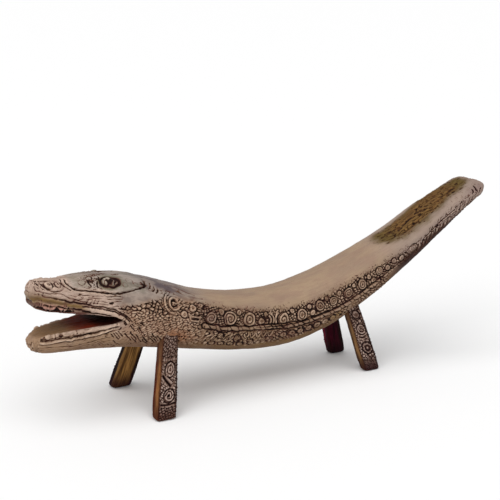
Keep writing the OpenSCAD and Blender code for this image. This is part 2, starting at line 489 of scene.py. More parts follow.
class BeamMap:
    """Centre line, half height and half width of the beam, measured on its fine mesh."""

    def __init__(self, points):
        low, high = points[:, 0].min(), points[:, 0].max()
        self.x = np.arange(math.ceil(low) + 1, math.floor(high), 2.0)
        top, bottom, side = [], [], []
        for x in self.x:
            near = points[np.abs(points[:, 0] - x) < 1.5]
            top.append(near[:, 2].max())
            bottom.append(near[:, 2].min())
            side.append(np.abs(near[:, 1]).max())
        top, bottom, side = (self.softened(np.array(c)) for c in (top, bottom, side))
        self.middle = (top + bottom) / 2
        self.slope = np.gradient(self.middle, self.x)
        stretch = np.sqrt(1 + self.slope ** 2)
        self.half_height = (top - bottom) / 2 / stretch
        self.half_width = side
        steps = (stretch[1:] + stretch[:-1]) / 2 * np.diff(self.x)
        way = np.concatenate([[0], np.cumsum(steps)])
        self.way = way - np.interp(0, self.x, way)

    @staticmethod
    def softened(column, reach=3):
        padded = np.pad(column, reach, mode="edge")
        return np.convolve(padded, np.ones(2 * reach + 1) / (2 * reach + 1), mode="valid")

    def at(self, foot, column):
        """Value of a column at each place along the frame's x."""
        return np.interp(foot, self.x, column)

    def lay_flat(self, points):
        """Along, around, and depth, which is 0 on the centre line and 1 on the skin."""
        x, y, z = points.T
        foot = x.copy()
        for _ in range(6):
            slope = self.at(foot, self.slope)
            miss = (x - foot) + (z - self.at(foot, self.middle)) * slope
            foot = np.clip(foot + 0.8 * miss / (1 + slope ** 2), self.x[0], self.x[-1])
        slope = self.at(foot, self.slope)
        half_height = self.at(foot, self.half_height)
        half_width = self.at(foot, self.half_width)
        rise = (z - self.at(foot, self.middle) - (x - foot) * slope) / np.sqrt(1 + slope ** 2)
        high = rise / half_height
        wide = np.abs(y) / half_width
        depth = (np.abs(high) ** 2.5 + wide ** 2.5) ** 0.4
        at_end = fade(BEAM_END + 1, BEAM_END + 6, np.abs(x))
        over_end = np.sign(x) * at_end * half_width * np.clip(1 - wide, 0, 1)
        wide += at_end * np.clip(0.9 - wide, 0, 1)
        radius = (half_height + half_width) / 2
        around = np.arctan2(high, wide) * radius
        beyond = (x - foot) * (np.abs(x) > BEAM_END)
        return self.at(foot, self.way) + beyond + over_end, around, depth


# ---------------------------------------------------------------- what is carved on the beam

# Lines on the flat map, as places along and around
CROWN_EDGE = [(-245, 6), (-220, 12), (-200, 17), (-180, 25), (-160, 30), (-140, 30), (-98, 27), (-54, 23),
              (-8, 20), (44, 17), (84, 18), (113, 17), (153, 14), (194, 11), (226, 8), (262, 12), (300, 15),
              (345, 18)]
ROPE_LINE = [(-120, 1), (-95, -0.5), (-69, 0), (-22, 0), (7, -3), (43, -5), (79, -7), (106, -7), (150, -5)]
BELLY_EDGE = [(-240, -26), (-140, -27), (-60, -26), (0, -24), (60, -23), (120, -24), (200, -26), (345, -24)]

# Ring round the eye: its middle, radius, stretch and lean
EYE_ALONG = -236.8
EYE_AROUND = 36
EYE_RADIUS = 7.4
EYE_STRETCH = 1.32
EYE_LEAN = 0.3

# Teeth of the upper jaw: place along, size, bend of the tip towards the tail, and height
TEETH = [(-324, 0.6, 0.5, 0.5), (-319, 0.6, -1.0, 0.6), (-312, 1.2, 1.6, 1.2), (-303, 1.1, -2.0, 1.1),
         (-294.4, 1.0, 1.5, 1.1), (-287, 0.7, -1.0, 0.7), (-281.6, 0.55, 1.0, 0.5)]
# Places around, on the flat map, of the roots of the teeth and of the row of bumps on the lower jaw
TOOTH_ROOTS = 12.6
JAW_BUMPS = -13.2

# Ringed motifs of the flank: along, around, radius, rings, stretch, spiral and height
RINGS = [(-139.5, 20.4, 5.0, 1, 1, 0, 1.0), (-150.5, 11.5, 4.6, 1, 1, 0, 0.9),
         (-128, 25.5, 3.4, 1, 1, 0, 0.6), (-112.3, 11.5, 7.6, 2, 1, 1, 1.0),
         (-97, 20.5, 4.6, 1, 1, 0, 0.8), (-84.6, 12.3, 9.4, 2, 1, 1, 1.1),
         (-71, 20.5, 3.8, 1, 1, 0, 0.7), (-56, 11.3, 9.0, 2, 1, 0, 1.1), (-38, 8, 4.8, 1, 1.1, 0, 0.9),
         (-31, 16, 3.2, 1, 1, 0, 0.6), (-5, 6.8, 8.6, 2, 1, -1, 1.1), (10, 14.5, 3.4, 1, 1, 0, 0.6),
         (23.5, 6.2, 8.2, 2, 1, 0, 1.1), (36.5, 12.5, 3.6, 1, 1, 0, 0.7), (39.5, 3.5, 4.0, 1, 1, 0, 0.7),
         (52, 8.6, 7.0, 2, 0.9, 0, 1.0), (64, 13.5, 3.0, 1, 1, 0, 0.6), (73, 6.6, 6.0, 2, 1, 0, 0.9),
         (85, 12, 3.4, 1, 1, 0, 0.6), (97.5, 6, 6.8, 2, 1, 1, 0.9), (109, 11, 3.2, 1, 1, 0, 0.6),
         (121, 5.6, 7.6, 2, 0.85, 0, 1.0), (134, 9.5, 3.6, 1, 1, 0, 0.7), (139, 1.2, 4.0, 1, 1, 0, 0.7),
         (151.5, 7.6, 5.6, 2, 1, 0, 0.9), (165, 4, 4.2, 1, 1, 0, 0.7), (178, 7, 4.0, 1, 1, 0, 0.7),
         (190, 2, 4.6, 1, 1, 0, 0.7)]


def carve_eye(skin):
    skin.loop(EYE_ALONG, EYE_AROUND, EYE_RADIUS, width=1.25, depth=1.0, heavy=0.6, side=60,
              stretch=EYE_STRETCH, lean=EYE_LEAN)
    skin.disc(-239.5, 36, 4.6, 0.6)
    for path, width in (([(-229, 42.5), (-226.5, 38), (-228.5, 33)], 1.5),
                        ([(-233, 42), (-231, 37.5), (-233.5, 32.5)], 0.9),
                        ([(-236, 40.5), (-235, 37), (-238, 32)], 1.5),
                        ([(-240, 34.5), (-239.5, 31.5), (-241, 29.5)], 1.1)):
        skin.groove(path, width=width, depth=0.6, grime_and_shade=1.5)
    skin.groove([(-244.5, 38.5), (-242, 35), (-243.5, 32)], width=0.6, depth=0.4, grime_and_shade=0.5)
    skin.groove([(-240.5, 40), (-239.5, 37.5)], width=0.6, depth=0.3, grime_and_shade=0.45)
    skin.blot(-231, 39, 3.4, 0.8, stretch=1.2, seed=80)


def carve_brow(skin):
    """Cuts, scales, stains and small rings round the eye, and a row of rings behind the head."""
    skin.groove([(-262, 40), (-256, 43.5), (-250, 45)], width=0.8, depth=0.4, grime_and_shade=0.6)
    for path in ([(-257.5, 29), (-259, 33), (-257, 37)], [(-251, 28), (-251.5, 31), (-250, 35)],
                 [(-248, 37), (-246.8, 40), (-247.5, 43)], [(-255, 39), (-254, 41), (-254.5, 43)]):
        skin.groove(path, width=0.9, depth=0.6, grime_and_shade=0.8)
    brow = bell(skin.u + 253, 9) * fade(25, 29, skin.v)
    skin.scales(brow, (3.0, 2.2), angle=70, depth=0.6, seed=79, gap=0.34, dome=0.4, grime_and_shade=0.6)
    for along, around, size, seed in ((-256, 46, 4, 81), (-251, 50, 5, 82), (-243, 52, 5, 83),
                                      (-257, 35, 4, 84), (-235, 52, 5, 86), (-227, 51, 4.5, 88),
                                      (-250, 39, 3, 89)):
        skin.blot(along, around, size, 1.5, stretch=1.5, seed=seed)
    for along, around, size in ((-266, 33.5, 3.4), (-215, 40, 3.4), (-221, 34, 2.6), (-209, 36, 2.2),
                                (-262, 40, 1.8)):
        skin.ring(along, around, size, rings=1, height=0.35, grime_and_shade=0.42)
    for k in range(6):
        skin.ring(-193 + 5.5 * k, 33.5 + 1.8 * math.sin(1.7 * k), 2.2, rings=1, height=0.25, grime_and_shade=0.4)


def carve_eye_panel(skin):
    """Long rimmed panel that the eye stands in."""
    panel = [(-283, 42), (-281.5, 33), (-275.5, 26.8), (-265, 24.2), (-250, 22.8), (-237, 22.6), (-227, 24),
             (-216, 27.5), (-205.5, 31.5), (-199, 36.5), (-196.5, 42), (-196.5, 45)]
    skin.groove(panel, width=0.95, depth=0.9, grime_and_shade=0.5, lip=0.35)
    skin.groove([(-205, 33), (-200, 36), (-197.3, 40.5), (-197.4, 46)], width=2.3, depth=0.8)
    skin.blot(-201, 38, 4.6, 2.0, stretch=1.2, seed=92)
    for along, around in ((-192, 43), (-188, 39.5), (-184, 38)):
        arc = [(along + 0.6, around), (along, around - 4.5), (along - 2.2, around - 8.5)]
        skin.groove(arc, width=1.1, depth=0.5, grime_and_shade=0.9)
    skin.groove([(-287.5, 43), (-287.3, 36), (-284, 29.5), (-279, 25.5)], width=0.8, depth=0.6, grime_and_shade=0.7)
    inside = fade(-283, -276, skin.u) * fade(-195, -203, skin.u)
    inside *= fade(24, 30, skin.v) * fade(58, 50, skin.v)
    skin.lift += 0.5 * inside * skin.skin


def carve_snout(skin):
    """Nostril of two small rings in a long one, with pits and stains on the tip."""
    skin.ring(-301, 30, 7.2, rings=1, stretch=2.05, height=0.9, dot=False, grime_and_shade=0.6)
    skin.ring(-307.5, 29.2, 4.2, rings=1, stretch=1.2, height=1.0, grime_and_shade=0.65)
    skin.ring(-294.5, 31.2, 3.9, rings=1, stretch=1.2, height=1.0, grime_and_shade=0.7)
    skin.groove([(-296, 34), (-293.4, 32), (-291.5, 29)], width=0.8, depth=0.6)
    skin.groove([(-318, 24), (-319.5, 30), (-314, 36.5), (-303, 39), (-291, 38.5)],
                width=0.7, depth=0.5, grime_and_shade=0.5)
    skin.groove([(-322, 21), (-314, 19.5), (-300, 21), (-289, 20.8), (-279, 17.5), (-265, 14.6),
                 (-250, 12.4), (-237, 12)], width=0.8, depth=0.5, grime_and_shade=0.6)
    rng = np.random.default_rng(5)
    for _ in range(16):
        skin.pit(rng.uniform(-326, -312), rng.uniform(18, 50), rng.uniform(0.5, 0.9), depth=0.4,
                 stretch=rng.uniform(1, 1.8))
    for along, around in ((-322, 24), (-318, 33), (-323, 40), (-314, 22), (-320, 48), (-313, 44)):
        skin.blot(along, around, 3.2, 0.35, seed=round(-along))


def carve_upper_lip(skin):
    skin.ridge([(-316, 13.4), (-300, 14.4), (-282, 12.3), (-267, 9.8), (-258, 8.6)],
               width=2.4, height=0.5, edge=0.7)
    for along, around, size in ((-317, 16, 2.6), (-306, 15.5, 2.0), (-299, 14.6, 2.4), (-288, 13.4, 2.4)):
        skin.blot(along, around, size, 1.1, stretch=1.5, seed=round(-along))
    skin.groove([(-338, 17.6), (-326, 17.4), (-314, 17.2)], width=0.7, depth=0.4, grime_and_shade=0.6)


def carve_teeth(skin):
    """Raised teeth, and then the gum cut down between them and darkened with dirt and painted shade."""
    for along, size, bend, height in TEETH:
        tip = 9.2 - 0.5 * size - 0.025 * (along + 300)
        where = skin.between(along - 8, along + 8)
        drop = (TOOTH_ROOTS - skin.v[where]) / (TOOTH_ROOTS - tip)
        half = 4.5 * size * np.sqrt(np.clip(1.3 - drop, 0.02, 1))
        gap = np.abs(skin.u[where] - along - bend * drop)
        reach = fade(half + 0.45, half - 0.45, gap) * fade(-0.15, 0.05, drop)
        skin.raise_by(where, height * reach * fade(1.25, 0.95, drop), 0, reach)
    where = skin.between(-340, -276)
    along, around = skin.u[where], skin.v[where]
    row = fade(12.8, 11.8, around) * fade(5.6, 6.6, around) * fade(-276, -280, along)
    row *= 1 - skin.taken[where]
    skin.raise_by(where, -row, row * (0.4 + 0.6 * fade(-320, -312, along)), row)


def carve_mouth_corner(skin):
    """Rolled edge of the upper jaw behind the teeth, down past the corner of the mouth."""
    skin.ridge([(-270, 8), (-262, 7.6), (-251, 5.6), (-238, 3.5), (-228, 0.6), (-220.5, -3), (-216, -6.5)],
               width=1.9, height=0.9, edge=0.65)
    skin.groove([(-262, 11.6), (-250, 9.6), (-238, 8), (-228, 5), (-218, 0.5), (-213, -4)],
                width=0.8, depth=0.7, grime_and_shade=0.75)


def carve_lower_lip(skin):
    skin.ridge([(-312, -15), (-292, -12.3), (-268, -12.7), (-250, -11.6), (-235, -9), (-226, -7.2)],
               width=1.9, height=0.6, edge=0.2)
    skin.ridge([(-313, -20.8), (-293, -18.1), (-270, -18.2), (-248, -16.4), (-233, -11.5)],
               width=1.3, height=0.7, edge=0.3)
    for width, depth, grime_and_shade, path in (
            (0.7, 0.6, 0.6, [(-313, -19), (-295, -16.6), (-272, -16.2), (-253, -15.2), (-240, -12.8),
                             (-229, -9)]),
            (0.8, 0.6, 0.7, [(-314, -23), (-292, -19.8), (-267, -20.4), (-244, -17.8), (-224, -12)]),
            (0.8, 0.5, 0.7, [(-312, -27), (-296, -24.4), (-278, -26.5), (-262, -25.6), (-238, -22)]),
            (0.7, 0.4, 0.5, [(-300, -30), (-284, -30.5), (-268, -28.8), (-250, -27)])):
        skin.groove(path, width=width, depth=depth, grime_and_shade=grime_and_shade)
    for along in (-335.5, -329, -323, -317, -310.5, -304.5):
        skin.disc(along, JAW_BUMPS, 2.3, 0.5)
        skin.loop(along, JAW_BUMPS, 2.9, width=0.8, depth=0.45, heavy=0.8, side=-70)
    for along in (-300, -296.5):
        skin.groove([(along, -15.5), (along - 0.6, -11.5)], width=0.7, depth=0.4)
    skin.pit(-291.5, JAW_BUMPS, 1.5, depth=0.7, stretch=1.7)
    for along in np.arange(-283, -258, 3.9):
        skin.pit(along, JAW_BUMPS + 0.5 * math.sin(along), 0.6, depth=0.3, stretch=1.4)


def carve_cheek(skin):
    for around, start, end in ((20, -268, -228), (17.8, -262, -226), (15.2, -254, -228), (10.3, -250, -230)):
        skin.groove([(start, around), ((start + end) / 2, around - 0.8), (end, around + 0.6)],
                    width=0.6, depth=0.4, grime_and_shade=0.65)
    skin.pit(-238, 13.5, 1.0, depth=0.7, stretch=2.4)
    for along in (-263, -259.5, -256, -252):
        skin.groove([(along - 1, 12.6), (along, 14.6), (along + 1.2, 16.2)], width=0.7, depth=0.4, grime_and_shade=0.6)


def carve_spiral_eye(skin):
    """Spiral behind the head, above the front leg, with the sweeping lines and stains over it."""
    skin.disc(-165.5, 21.8, 2.3, 1.6)
    skin.loop(-165.5, 21.8, 3.6, width=1.1, depth=1.3)
    skin.ridge([(-160.5, 24.5), (-163, 27.6), (-167.5, 27.8), (-171, 24.5), (-171, 19), (-168, 15.4),
                (-163.5, 14.4), (-159.5, 16.5), (-158.6, 20)], width=1.3, height=0.9, edge=0.6)
    skin.ridge([(-170, 33.5), (-175, 29.5), (-177.4, 23), (-175.5, 16), (-170.5, 11.2), (-163, 10)],
               width=1.3, height=0.6, edge=0.6)
    for path in ([(-170, 47), (-165, 50), (-158, 49), (-153, 45)], [(-152, 47), (-143, 42), (-133, 40)],
                 [(-180, 36), (-168, 36), (-158, 33), (-150, 30), (-138, 31)],
                 [(-168, 42), (-158, 40), (-150, 36), (-137, 35), (-122, 36)]):
        skin.groove(path, width=1.4, depth=0.4, grime_and_shade=0.45)
    skin.blot(-158, 38, 8, 0.5, stretch=1.6, seed=85)
    skin.blot(-141, 32, 6, 0.55, stretch=1.8, seed=87)
    for along in (-152, -145, -134, -122, -115, -104, -92):
        skin.blot(along, 27 - 0.1 * (along + 150), 3.4, 0.9, stretch=1.2, seed=200 + along)


def carve_rings(skin):
    """Band of ringed motifs along the flank, with a few bars between them."""
    for motif in RINGS:
        skin.ring(*motif)
    skin.ring(212, 3, 5.4, rings=2, stretch=1.3, height=0.7, grime_and_shade=0.6)
    for around in (9.8, 5.6):
        skin.ridge([(-141, around), (-135, around + 0.2), (-129, around)], width=1.2, height=0.7, edge=1)
    for lean, along in ((1, -26), (1, -21.5), (-1, -16)):
        skin.ridge([(along - 2.5 * lean, 16), (along + 1.2 * lean, 10), (along + 0.5 * lean, 3.5)],
                   width=1.3, height=0.8, edge=1)


def carve_borders(skin):
    """Beaded ropes and lines that the band of rings lies between."""
    skin.rope(ROPE_LINE, bead=8.0, width=2.5, height=0.9, slant=0.7)
    skin.groove([(-46, 0.6), (-22, 0.4), (7, -1.6), (43, -3.2), (79, -5)], width=0.8, depth=0.8)
    skin.rope([(232, 1), (262, 5), (292, 6)], bead=13, width=1.2, height=0.6)
    skin.rope([(150, -5), (176, -4), (200, -6)], bead=6, width=1.4, height=0.7)
    skin.groove([(150, 12), (176, 11), (200, 8), (226, 6)], width=0.7, depth=0.5, grime_and_shade=0.7)


def carve_belly(skin):
    skin.ring(-70, -13, 5.0, rings=2, spiral=1, height=0.7)
    skin.ring(-94, -10, 3.8, rings=1, stretch=1.3, height=0.6)
    for k in range(5):
        along = -62 + 8.5 * k
        skin.ridge([(along, -6), (along + 3.5, -12), (along + 8, -6.4)], width=1.1, height=0.6, edge=0.8)
    for along in range(-116, -80, 7):
        skin.ridge([(along, -18), (along + 4, -12.5), (along + 9, -8.5)], width=1.1, height=0.5, edge=0.8)
    for k in range(7):
        skin.ring(-4 + 12 * k, -14 - 0.35 * k, 3.6, rings=1, stretch=1.35, height=0.5)
    for along in range(-102, -62, 13):
        skin.ring(along, -22, 2.8, rings=1, stretch=1.5, height=0.4)


def carve_tail(skin):
    """Leaf cuts near the end of the tail, and slanting leaves along its flank."""
    for along, low, high in ((337, 4, 12), (342, 3, 10), (334, 12, 17), (341, 13, 19)):
        skin.groove([(along - 3, low), (along, (low + high) / 2), (along + 2, high)], width=0.9, depth=0.9)
    skin.groove([(262, -4), (272, -1), (282, 2)], width=1.0, depth=0.6)
    for k in range(8):
        along = 221 + 8.4 * k
        skin.ridge([(along - 5, -9), (along, -3), (along + 2.5, 2.5)], width=1.35, height=0.7, edge=0.75)
    for along in range(296, 336, 8):
        skin.ridge([(along - 3, -5), (along, 1), (along + 4, 5)], width=1.1, height=0.5, edge=0.5)


def fill_neck(skin):
    """Scales, pleats and nicks of the neck and the throat."""
    s, g = skin.u, skin.v
    ragged = ragged_edge(skin)
    belly = height_of(BELLY_EDGE, s)
    top = height_of([(-236, 9), (-220, 13), (-200, 17), (-180, 25), (-160, 29), (-140, 30), (-120, 30)], s)
    neck = fade(-236, -222, s + ragged) * fade(-116, -128, s) * fade(top + 2, top - 3, g + ragged)
    holes = neck * fade(6, 9, g) * fade(top + 3, top - 1, g)
    skin.scales(holes, (5.2, 3.8), angle=-12, depth=1.5, seed=11, gap=0.32, dome=0.8, grime_and_shade=0.9)
    beads = neck * fade(-4, 1, g)
    skin.scales(beads, (4.4, 2.8), angle=24, depth=0.7, seed=22, gap=0.22, dome=0.6, grime_and_shade=0.6)
    throat = fade(-226, -205, s + 0.6 * g + ragged) * fade(-112, -124, s + ragged)
    long_scales = throat * fade(2, -3, g) * fade(belly - 5, belly + 1, g)
    skin.scales(long_scales, (7.0, 2.7), angle=34, depth=0.7, seed=12, gap=0.2, dome=0.5, grime_and_shade=0.5)
    pleats = fade(-262, -228, s) * fade(-180, -205, s + g) * fade(-2, -8, g) * fade(-40, -30, g)
    skin.strokes(pleats, 2.6, angle=-40, depth=0.8, seed=23, run=34, grime_and_shade=0.9)
    nicked = np.maximum(neck, throat * fade(3, -2, g) * fade(belly - 6, belly, g))
    skin.nicks(nicked, 4.2, length=2.4, lean=38, depth=0.6, seed=24)


def fill_flank(skin):
    """Scales and nicks between the rings, under the cradle's edge and below the rope."""
    s, g = skin.u, skin.v
    crown = height_of(CROWN_EDGE, s)
    rope = height_of(ROPE_LINE, s)
    belly = height_of(BELLY_EDGE, s)
    above = fade(crown + 3, crown - 4, g + ragged_edge(skin))
    band = fade(-130, -118, s) * fade(232, 210, s) * above * fade(rope - 2, rope + 2, g)
    skin.scales(band, (4.4, 3.4), angle=20, depth=1.3, seed=13, gap=0.36, dome=0.6)
    skin.nicks(band * (1 - 0.5 * skin.taken), 4.0, length=2.0, depth=0.6, seed=25)
    fringe = fade(crown - 3, crown + 1, g) * fade(crown + 8, crown + 2, g)
    fringe *= 0.9 * fade(-130, -110, s) * fade(230, 190, s)
    skin.nicks(fringe, 3.6, length=1.8, depth=0.5, seed=14)
    below = fade(rope + 1, rope - 2, g) * fade(belly - 1, belly + 4, g)
    front = fade(-122, -110, s) * fade(-14, -26, s) * below
    rear = fade(-26, -14, s) * fade(170, 150, s) * below
    for weight, angle, length, lean, seed in ((front, 38, 2.6, 35, 15), (rear, -30, 2.4, -30, 16)):
        skin.scales(weight, (6.6, 3.2), angle=angle, depth=0.9, seed=seed, gap=0.3, dome=0.7, grime_and_shade=0.9)
        skin.nicks(weight, 4.0, length=length, lean=lean, depth=0.6, seed=seed + 11)


def fill_tail(skin):
    s, g = skin.u, skin.v
    crown = height_of(CROWN_EDGE, s)
    tail = fade(196, 222, s) * fade(345, 332, s)
    low = tail * fade(-20, -12, g) * fade(5, 2, g)
    high = tail * fade(2, 5, g) * fade(crown + 2, crown - 4, g + ragged_edge(skin))
    skin.strokes(low, 3.4, angle=-50, depth=0.6, seed=17, run=17, grime_and_shade=0.55)
    skin.strokes(high, 3.2, angle=42, depth=0.5, seed=28, run=13, grime_and_shade=0.55)
    skin.nicks(np.maximum(low, high), 4.6, length=2.4, lean=12, depth=0.5, seed=29)
    scratches = fade(262, 290, s) * fade(8, 12, g) * fade(40, 30, g)
    skin.strokes(scratches, 2.4, angle=68, depth=0.25, seed=18, run=15, grime_and_shade=0.35)


def fill_face(skin):
    """Faint nicks, strokes and scales of the head, the jaw, the snout and the chin."""
    s, g = skin.u, skin.v
    cheek = 0.8 * fade(-300, -290, s) * fade(-205, -228, s) * fade(-8, -14, g)
    skin.nicks(cheek, 4.2, length=4.0, lean=6, depth=0.3, seed=32)
    side = 0.7 * fade(-284, -276, s) * fade(-205, -228, s) * fade(12, 16, g) * fade(40, 24, g)
    skin.nicks(side, 4.4, length=3.2, lean=-4, depth=0.3, seed=33)
    jaw = fade(-322, -315, s) * fade(-225, -235, s)
    low = jaw * fade(-22, -26, g) * fade(-46, -38, g)
    skin.strokes(low, 2.6, angle=3, depth=0.35, seed=19, run=24, grime_and_shade=0.5)
    high = jaw * fade(12, 15, g) * fade(25, 21, g)
    skin.strokes(high, 2.1, angle=-4, depth=0.3, seed=20, run=16, grime_and_shade=0.3)
    snout = fade(-308, -316, s) * fade(14, 18, g) * fade(52, 42, g)
    skin.scales(snout, (3.4, 2.8), angle=30, depth=0.3, seed=21, gap=0.24, dome=0.3)
    chin = fade(-298, -316, s) * fade(-15, -18, g) + fade(-322, -327, s) * fade(-2, -7, g)
    skin.scales(chin, (3.8, 3.0), angle=10, depth=0.3, seed=30, gap=0.24, dome=0.3)
    free = 0.55 * fade(-218, -240, s) * fade(-330, -285, s) * (1 - skin.taken)
    skin.nicks(free, 5.5, length=2.2, lean=-6, depth=0.3, seed=31)


def ragged_edge(skin):
    """Uneven shift, in millimetres, for the borders of the filled areas."""
    return 2.5 * noise(skin.u / 6, skin.v / 6, 3)


def worn_patch(x, y, g):
    """1 on the rough worn patch on top of the tail, in the frame's own x and y."""
    near_edge = height_of([(148, 4), (156, -12), (168, -22), (195, -26), (217, -27), (247, -22), (273, -15),
                           (304, -6), (322, 4)], x)
    far_edge = height_of([(148, 4), (168, 14), (195, 15.5), (224, 18), (250, 28), (280, 40), (325, 44)], x)
    ragged = 3.0 * noise(x / 9, y / 4, 31) + 1.6 * noise(x / 3.5, y / 1.8, 32)
    ends = fade(142, 172, x + 2 * ragged) * fade(325, 311, x + ragged)
    sides = fade(near_edge - 10, near_edge + 10, y + ragged) * fade(far_edge + 3, far_edge - 3, y + ragged)
    return ends * sides * fade(12, 17, g)


def carve_worn_patch(skin, x, y, worn):
    """Rough old wood: long fibres, cracks and torn-out gouges, deepest along its middle."""
    where = np.nonzero(worn > 0.01)[0]
    u, w = x[where], y[where]
    bend = 2.5 * noise(u / 30, w / 12, 33)
    fibres = np.abs(noise(u / 10, (w + bend) / 2.1, 34))
    core = bell(w - height_of([(150, -2), (230, -8), (320, 8)], u), 13)
    splits = fade(0.22, 0.04, np.abs(noise(u / 20, (w + bend) / 4, 35)))
    splits *= fade(-0.3, 0.3, noise(u / 16, w / 7, 37))
    crumbs = 0.8 * noise(u / 5.5, (w + bend) / 3, 36) + 0.5 * noise(u / 2.6, w / 2.0, 40)
    gouges = fade(0.0, 0.45, crumbs + 0.7 * (core - 0.65))
    lift = -0.3 - 0.4 * (1 - fibres) - 0.9 * splits - 0.9 * gouges + 0.3 * noise(u / 12, w / 7, 39)
    skin.raise_by(where, worn[where] * lift)
    broken = 0.65 + 0.35 * noise(u / 3, w / 1.5, 38)
    # Dark in the splits and gouges: dirt, and painted shade in the cracks
    grime_and_shade = ((0.2 + 0.5 * core) * splits + 0.8 * gouges) * broken + 0.2 * fade(0.25, 0.0, fibres)
    grime_and_shade = np.clip(grime_and_shade, 0, 1)
    skin.grime_and_shade[where] = np.maximum(skin.grime_and_shade[where] * (1 - worn[where]), worn[where] * grime_and_shade)


# ---------------------------------------------------------------- the beam

def build_beam():
    passes = round((SMOOTH_WIDTH / BODY_VOXEL) ** 2 * 1.6)
    piece = fine_copy("crocodile_body", "carved_crocodile", BODY_VOXEL, passes)
    mesh = piece.data
    points = mesh_points(mesh)
    normals = mesh_normals(mesh)
    edges = mesh_edges(mesh)
    along, around, depth = BeamMap(points).lay_flat(points)
    x, y, z = points.T
    outer = np.maximum(fade(0.9, 0.955, depth), fade(BEAM_END + 3, BEAM_END + 7, np.abs(x)))
    skin = Carving(*unevenly_placed(along, around, y), outer * fade(0.0, 0.7, away_from_legs(x, z) + 0.3))
    worn = worn_patch(x, y, around) * outer
    carve_beam(skin, points, worn)

    skin.lift *= RELIEF
    points = softened(points, edges, fade(-300, -313, x), 4.5, BODY_VOXEL)
    points[:, 0] += TIP_PULL * fade(-304, -316, x) * fade(152, 144, z) * fade(136, 142, z)
    hollow, high = hollows_and_tops(skin.lift, edges, BODY_VOXEL)
    moved = points + normals * skin.lift[:, None]
    low_corner, high_corner = (np.array(c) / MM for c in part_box("crocodile_body"))
    set_points(mesh, np.clip(moved, low_corner, high_corner))

    stain = spread(worn, edges, round((STAIN_WIDTH / BODY_VOXEL) ** 2))
    rim = 1 - fade(0.55, 0.95, stain + 0.15 * noise(x / 5, y / 2, 59))
    hole = (1 - fade(0.84, 0.92, depth)) * fade(MOUTH_CORNER + 4, MOUTH_CORNER - 2, x)
    store_all(mesh, {
        "worn": 0.3 * worn + 0.7 * stain,
        "stain": stain,
        "moss": np.clip(fade(196, 168, x) + fade(285, 308, x) + 0.9 * rim, 0, 1),
        # How far into the mouth: it turns the inside red, and then dark with painted shade
        "deep": fade(-305, -232, x),
        "mouth": hole * fade(-317, -303, x),
    })
    store_all(mesh, wear_and_light_masks(along, around, outer, skin.grime_and_shade, hollow, high))
    store_all(mesh, head_masks(along, around, outer))
    store_all(mesh, flank_masks(along, around))
    store_vector(mesh, "grain", np.column_stack([along, around * np.sign(y), y]) * 0.1)
    return piece


def away_from_legs(x, z):
    """0 where a leg goes into the flank, and 1 away from it."""
    share = np.ones(len(x))
    for node in ("front_left_leg", "rear_left_leg"):
        root = leg_root(node)
        share *= fade(8, 11.5, np.hypot(x - root[0], z - root[2]) + 20 * (z > root[2] + 12))
    return share


def unevenly_placed(along, around, y):
    """Places on the flat map, shifted by a little noise that is not the same on both sides."""
    hand = 37 * (y > 0)
    return [place + 0.6 * noise(along / 6, around / 5 + hand, seed)
            + 0.35 * noise(along / 2.6, around / 2.2 + hand, seed + 5)
            for place, seed in ((along, 1), (around, 2))]


def carve_beam(skin, points, worn):
    for carve in (carve_eye, carve_brow, carve_eye_panel, carve_snout, carve_upper_lip, carve_teeth,
                  carve_mouth_corner, carve_lower_lip, carve_cheek, carve_spiral_eye, carve_rings,
                  carve_borders, carve_belly, carve_tail, fill_neck, fill_flank, fill_tail, fill_face):
        carve(skin)
    carve_worn_patch(skin, points[:, 0], points[:, 1], worn)
    carve_everywhere(skin, points)


def wear_and_light_masks(along, around, outer, grime_and_shade, hollow, high):
    """Dirt and painted shade in the cuts, wear and painted highlight on the high places, and the smooth
    crown.
    """
    uneven = 0.7 + 0.45 * noise(along / 5, around / 3.5, 45) + 0.3 * noise(along / 21, around / 14, 46)
    uneven -= 0.25 * fade(-212, -236, along) * np.maximum(fade(12, 15, around), fade(-6, -10, around))
    uneven += 0.5 * fade(13, 10, eye_distance(along, around))
    patchy_rub_and_highlight = 0.75 + 0.5 * noise(along / 4, around / 3, 49) + 0.35 * noise(along / 17, around / 12, 50)
    on_rope = bell(around - height_of(ROPE_LINE, along), 4)
    on_rope *= fade(-130, -120, along) * fade(160, 150, along)
    crown_edge = height_of(CROWN_EDGE, along)
    ragged = 2 * noise(along / 7, around / 7, 47)
    return {
        # Dark in the cuts and hollows: dirt, and painted shade of the recesses
        "grime_and_shade": np.clip(grime_and_shade * uneven * 0.75 + 0.45 * hollow, 0, 1) * outer,
        # Light on the high places of the relief: wear, and painted highlight
        "rub_and_highlight": high * np.clip(patchy_rub_and_highlight, 0.15, 1) * outer * (1 - 0.5 * on_rope),
        "crown": fade(crown_edge - 5, crown_edge + 5, around + ragged) * outer,
    }


def eye_distance(along, around):
    """Distance from the middle of the eye, counted in the stretched and leaning shape of its ring."""
    off = around - EYE_AROUND
    return np.hypot((along - EYE_ALONG - EYE_LEAN * off) / EYE_STRETCH, off)


